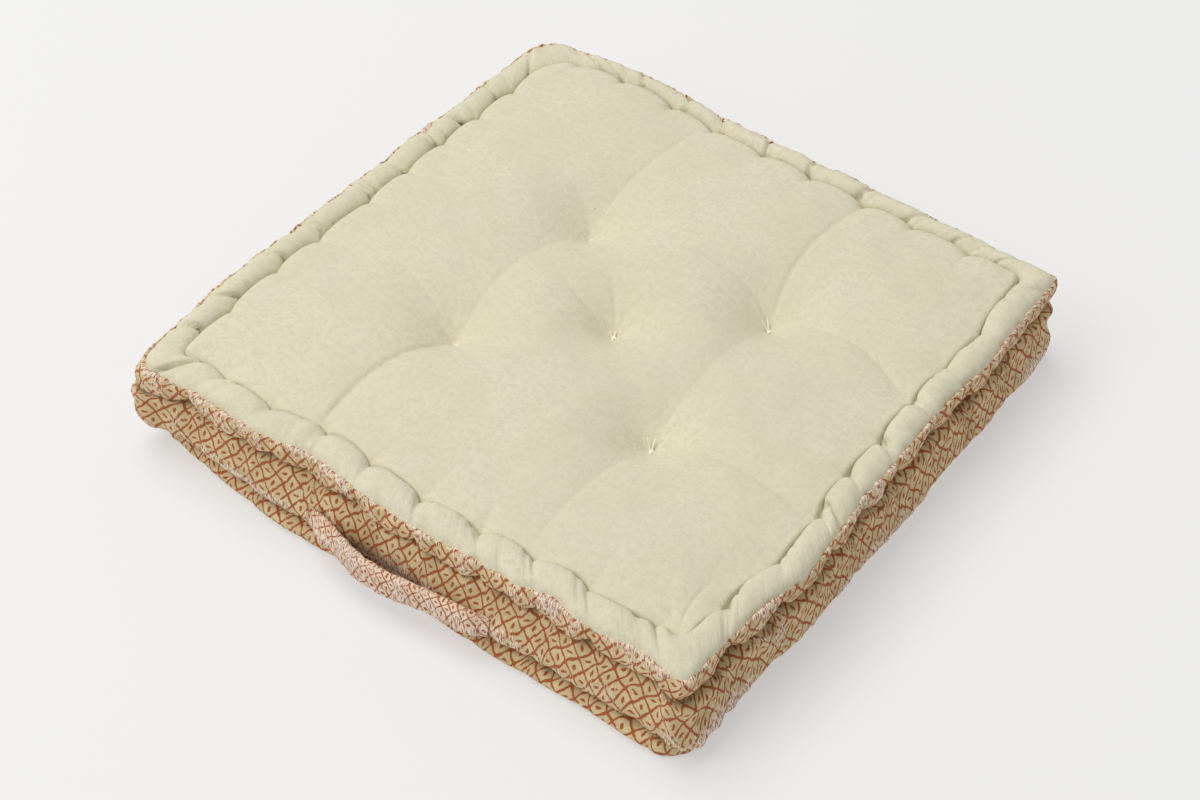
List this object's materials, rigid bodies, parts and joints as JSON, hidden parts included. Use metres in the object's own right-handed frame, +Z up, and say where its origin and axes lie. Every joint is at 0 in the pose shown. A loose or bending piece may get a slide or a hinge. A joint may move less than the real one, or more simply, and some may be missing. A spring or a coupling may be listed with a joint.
{
  "type": "meditation cushion",
  "caption": "Square filled floor cushion with a tufted cream top, rolled stitched edges, a printed boxing and a carrying strap on one side.",
  "frame": {"origin": "middle of the flat base, on the surface that the cushion lies on", "axes": "+Z up through the tufted top; -Y out of the side that carries the strap"},
  "size_m": [0.5288, 0.5398, 0.0919],
  "materials": {
    "cream_cotton": "matt handwoven cotton",
    "printed_cotton": "matt cotton, block-printed in brick brown on cream",
    "tie_thread": "matt cotton thread"
  },
  "bodies": {
    "root": {"cushion": "cream_cotton", "handle_strap": "printed_cotton", "tie_1": "tie_thread", "tie_2": "tie_thread", "tie_3": "tie_thread", "tie_4": "tie_thread", "tie_5": "tie_thread"}
  },
  "joints": []
}
